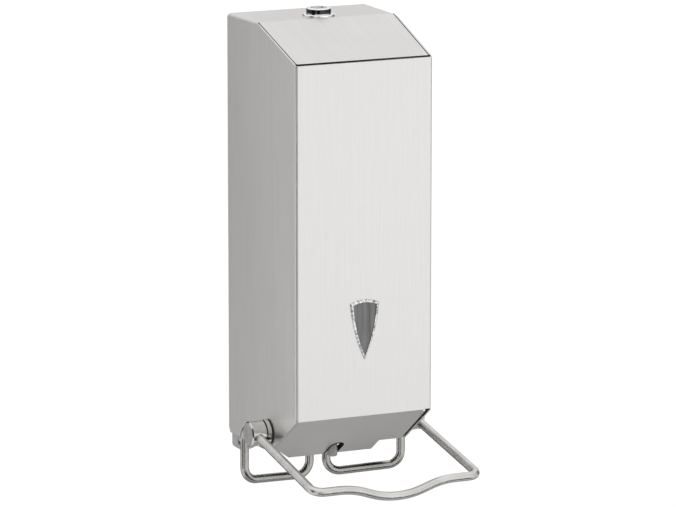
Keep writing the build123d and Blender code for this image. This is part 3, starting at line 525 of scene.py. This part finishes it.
def world_light():
    """Even white room, a little brighter overhead."""
    world = bpy.data.worlds.new("studio")
    bpy.context.scene.world = world
    world.use_nodes = True
    tree = world.node_tree
    background = tree.nodes["Background"]
    place = tree.nodes.new("ShaderNodeTexCoord")
    parts = tree.nodes.new("ShaderNodeSeparateXYZ")
    ramp = tree.nodes.new("ShaderNodeMapRange")
    ramp.inputs["From Min"].default_value = 0.0
    ramp.inputs["From Max"].default_value = 1.0
    ramp.inputs["To Min"].default_value = ROOM_LEVEL
    ramp.inputs["To Max"].default_value = ROOM_OVERHEAD
    tree.links.new(place.outputs["Generated"], parts.inputs[0])
    tree.links.new(parts.outputs["Z"], ramp.inputs["Value"])
    plain = tree.nodes.new("ShaderNodeMix")
    path = tree.nodes.new("ShaderNodeLightPath")
    tree.links.new(path.outputs["Is Camera Ray"], plain.inputs[0])
    tree.links.new(ramp.outputs["Result"], plain.inputs[2])
    plain.inputs[3].default_value = BACKDROP
    tree.links.new(plain.outputs[0], background.inputs["Strength"])
    background.inputs["Color"].default_value = ROOM_COLOUR


def studio():
    """Pale floor, soft light all round, and the cards that the steel mirrors."""
    world_light()
    studio_plane("floor", (0, 0, FLOOR_Z), (FLOOR_SPAN, FLOOR_SPAN), (0, 0, 1), FLOOR_SHADE)
    for name, centre, size, normal, shade in CARDS:
        studio_plane(name, centre, size, normal, shade, seen=False)
    softbox("front_box", FRONT_BOX_PLACE, FRONT_BOX_SIZE, FRONT_BOX_POWER)


def camera():
    """Long lens from the left and a little above, looking down on the dispenser."""
    low, high = (Vector(corner) for corner in CAD_BOX)
    aim = (low + high) / 2 + CAMERA_AIM_OFFSET
    turn = radians(CAMERA_AZIMUTH)
    lift = radians(CAMERA_ELEVATION)
    back = Vector((sin(turn) * cos(lift), -cos(turn) * cos(lift), sin(lift)))
    data = bpy.data.cameras.new("photo_camera")
    data.lens = CAMERA_LENS
    data.sensor_width = SENSOR_WIDTH
    data.clip_end = FAR_CLIP
    eye = bpy.data.objects.new("photo_camera", data)
    bpy.context.scene.collection.objects.link(eye)
    eye.location = aim + back * CAMERA_DISTANCE
    eye.rotation_euler = (-back).to_track_quat("-Z", "Y").to_euler()
    bpy.context.scene.camera = eye


# --- Return spring ------------------------------------------------------------------------
def coil_point(turn, centre, foot, radius, rise):
    """Point on the spring's centre line, a number of turns up from its foot."""
    angle = 2 * pi * turn
    return Vector((centre.x + radius * cos(angle), centre.y + radius * sin(angle),
                   foot + rise * turn))


def coil_ring(step, centre, foot, radius, rise):
    """Ring of points round the wire at one step of the coil."""
    here = coil_point(step / COIL_STEPS, centre, foot, radius, rise)
    ahead = coil_point((step + COIL_LOOK_AHEAD) / COIL_STEPS, centre, foot, radius, rise)
    along = (ahead - here).normalized()
    outward = Vector((here.x - centre.x, here.y - centre.y, 0)).normalized()
    upward = along.cross(outward).normalized()
    angles = [2 * pi * side / COIL_SIDES for side in range(COIL_SIDES)]
    return [here + (outward * cos(angle) + upward * sin(angle)) * SPRING_WIRE_R
            for angle in angles]


def coil_mesh(low, high):
    """Closed mesh of a coil that fills a box."""
    centre = (low + high) / 2
    radius = (high.x - low.x) / 2 - SPRING_WIRE_R
    foot = low.z + SPRING_WIRE_R
    rise = (high.z - low.z - 2 * SPRING_WIRE_R) / SPRING_TURNS
    points, faces = [], []
    steps = int(SPRING_TURNS * COIL_STEPS)
    for step in range(steps + 1):
        points += coil_ring(step, centre, foot, radius, rise)
    for step in range(steps):
        for side in range(COIL_SIDES):
            a = step * COIL_SIDES + side
            b = step * COIL_SIDES + (side + 1) % COIL_SIDES
            faces.append((a, b, b + COIL_SIDES, a + COIL_SIDES))
    last = steps * COIL_SIDES
    faces.append(tuple(reversed(range(COIL_SIDES))))
    faces.append(tuple(last + side for side in range(COIL_SIDES)))
    mesh = bpy.data.meshes.new("return_spring")
    mesh.from_pydata([tuple(point) for point in points], [], faces)
    mesh.polygons.foreach_set("use_smooth", [True] * len(mesh.polygons))
    mesh.update()
    return mesh


def return_spring():
    """Coil of the return spring, built in the box of the CAD spring and carried by the wall unit.
    """
    low, high = (Vector(corner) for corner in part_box("pump_spring"))
    mesh = coil_mesh(low, high)
    spring = bpy.data.objects.new("return_spring", mesh)
    bpy.context.scene.collection.objects.link(spring)
    mesh.materials.append(frame["nodes"]["pump_spring"].data.materials[0])
    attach(spring, "wall_unit")
    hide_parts("pump_spring")
    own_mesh(spring)


# --- The scene ----------------------------------------------------------------------------
def finishes():
    """Dress every CAD node."""
    for names, make in ((CASE_NODES, brushed_case), (SHEET_NODES, plain_sheet),
                        (LEVER_NODES, lever_wire), (CRANK_NODES, crank_wire),
                        (TURNED_NODES, turned_steel), (LOCK_NODES, lock_chrome),
                        (CHROME_NODES, chrome), (BARREL_NODES, barrel_steel),
                        (BRIGHT_NODES, bright_steel), (TANK_NODES, tank_plastic),
                        (LID_NODES, lid_plastic), (PUMP_NODES, pump_plastic),
                        (DARK_NODES, dark_plastic), (GREY_NODES, grey_plastic),
                        (RUBBER_AND_GAP_SHADE_NODES, seal_rubber),
                        (RIM_NODES, rim_polish), (LENS_NODES, smoked_lens)):
        dress(names, make())


def corners(box):
    """A box as two plain lists."""
    return [[float(value) for value in corner] for corner in box]


bpy.context.scene.view_settings.view_transform = "Standard"
camera()
studio()
finishes()
return_spring()
